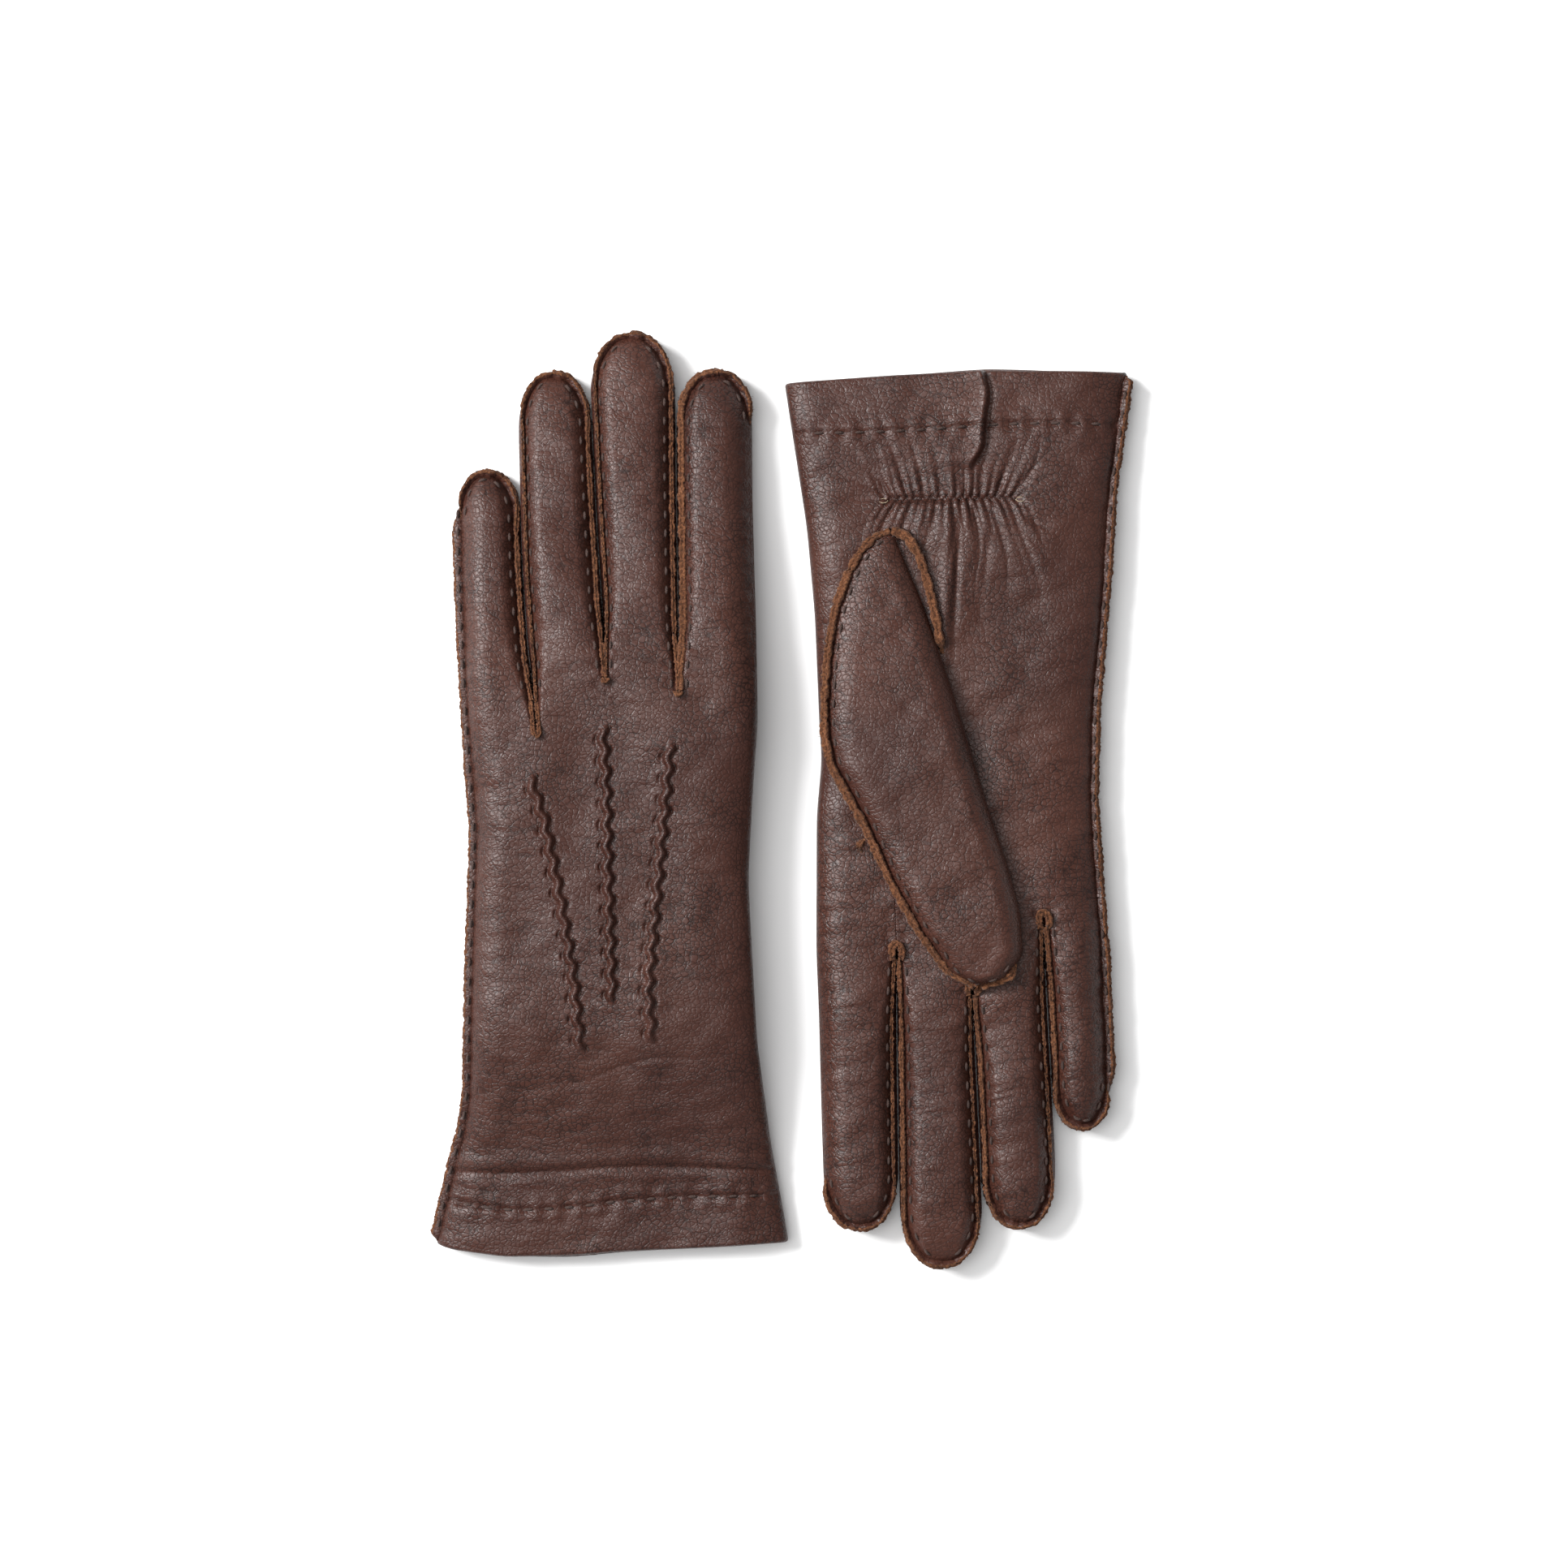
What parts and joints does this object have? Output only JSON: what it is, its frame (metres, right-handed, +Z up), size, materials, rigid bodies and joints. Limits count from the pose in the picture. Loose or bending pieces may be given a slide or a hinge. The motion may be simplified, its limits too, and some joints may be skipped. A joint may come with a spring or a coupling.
{
  "type": "pair of leather gloves",
  "caption": "Pair of hand-sewn outseam leather dress gloves lying flat, one back up and one palm up, with fourchettes, hidden lining and wrist elastic.",
  "frame": {"origin": "bottom centre of the pair's bounding box, on the surface the gloves lie on", "axes": "+X across both gloves from the left-hand glove to the right-hand glove, +Y along the left glove's fingers, +Z up"},
  "size_m": [0.187, 0.2477, 0.0208],
  "materials": {
    "leather": "satin dark brown glove leather",
    "fourchette": "satin dark brown glove leather",
    "suede": "raw cut suede edge",
    "lining": "fine knitted lining",
    "thread": "thick twisted sewing thread",
    "elastic": "flat woven elastic"
  },
  "bodies": {
    "left_hand": {"left_back": "leather", "left_palm": "leather", "left_hand_lining": "lining", "left_wrist_elastic": "elastic", "left_hem_thread": "thread", "left_points_thread": "thread", "left_side_seam_thread": "thread"},
    "left_index": {"left_index_leather": "leather", "left_index_fourchette_little_side": "fourchette", "left_index_lining": "lining", "left_index_thread": "thread"},
    "left_middle": {"left_middle_leather": "leather", "left_middle_fourchette_little_side": "fourchette", "left_middle_fourchette_index_side": "fourchette", "left_middle_lining": "lining", "left_middle_thread": "thread"},
    "left_ring": {"left_ring_leather": "leather", "left_ring_fourchette_little_side": "fourchette", "left_ring_fourchette_index_side": "fourchette", "left_ring_lining": "lining", "left_ring_thread": "thread"},
    "left_little": {"left_little_leather": "leather", "left_little_fourchette_index_side": "fourchette", "left_little_lining": "lining", "left_little_thread": "thread"},
    "left_thumb": {"left_thumb_leather": "leather", "left_thumb_quirk": "suede", "left_thumb_lining": "lining", "left_thumb_thread": "thread"},
    "right_hand": {"right_back": "leather", "right_palm": "leather", "right_thumb_root": "leather", "right_hand_lining": "lining", "right_wrist_elastic": "elastic", "right_hem_thread": "thread", "right_points_thread": "thread", "right_side_seam_thread": "thread"},
    "right_index": {"right_index_leather": "leather", "right_index_fourchette_little_side": "fourchette", "right_index_lining": "lining", "right_index_thread": "thread"},
    "right_middle": {"right_middle_leather": "leather", "right_middle_fourchette_little_side": "fourchette", "right_middle_fourchette_index_side": "fourchette", "right_middle_lining": "lining", "right_middle_thread": "thread"},
    "right_ring": {"right_ring_leather": "leather", "right_ring_fourchette_little_side": "fourchette", "right_ring_fourchette_index_side": "fourchette", "right_ring_lining": "lining", "right_ring_thread": "thread"},
    "right_little": {"right_little_leather": "leather", "right_little_fourchette_index_side": "fourchette", "right_little_lining": "lining", "right_little_thread": "thread"},
    "right_thumb": {"right_thumb_leather": "leather", "right_thumb_quirk": "suede", "right_thumb_lining": "lining", "right_thumb_thread": "thread"}
  },
  "joints": [
    {"name": "left_index_bend", "type": "hinge", "parent": "left_hand", "child": "left_index", "pos_m": [-0.0167, 0.038, 0.0204], "axis": [1, 0, 0], "range_deg": [0, 90]},
    {"name": "left_middle_bend", "type": "hinge", "parent": "left_hand", "child": "left_middle", "pos_m": [-0.0372, 0.038, 0.0204], "axis": [1, 0, 0], "range_deg": [0, 90]},
    {"name": "left_ring_bend", "type": "hinge", "parent": "left_hand", "child": "left_ring", "pos_m": [-0.057, 0.038, 0.0204], "axis": [1, 0, 0], "range_deg": [0, 90]},
    {"name": "left_little_bend", "type": "hinge", "parent": "left_hand", "child": "left_little", "pos_m": [-0.0762, 0.0325, 0.0204], "axis": [1, 0, 0], "range_deg": [0, 90]},
    {"name": "right_index_bend", "type": "hinge", "parent": "right_hand", "child": "right_index", "pos_m": [0.0197, -0.042, 0.0116], "axis": [-1, 0, 0], "range_deg": [0, 90]},
    {"name": "right_middle_bend", "type": "hinge", "parent": "right_hand", "child": "right_middle", "pos_m": [0.0402, -0.052, 0.0116], "axis": [-1, 0, 0], "range_deg": [0, 90]},
    {"name": "right_ring_bend", "type": "hinge", "parent": "right_hand", "child": "right_ring", "pos_m": [0.06, -0.052, 0.0116], "axis": [-1, 0, 0], "range_deg": [0, 90]},
    {"name": "right_little_bend", "type": "hinge", "parent": "right_hand", "child": "right_little", "pos_m": [0.0792, -0.034, 0.0116], "axis": [-1, 0, 0], "range_deg": [0, 90]},
    {"name": "left_thumb_swing", "type": "hinge", "parent": "left_hand", "child": "left_thumb", "pos_m": [-0.0225, -0.044, 0.004], "axis": [0, 0, -1], "range_deg": [0, 30]},
    {"name": "right_thumb_lift", "type": "hinge", "parent": "right_hand", "child": "right_thumb", "pos_m": [0.0422, 0.0385, 0.0204], "axis": [-0.7107, -0.7035, 0], "range_deg": [0, 80]},
    {"name": "right_glove_lift", "type": "slide", "parent": "left_hand", "child": "right_hand", "axis": [0, 0, 1], "range_m": [0, 0.08]}
  ]
}
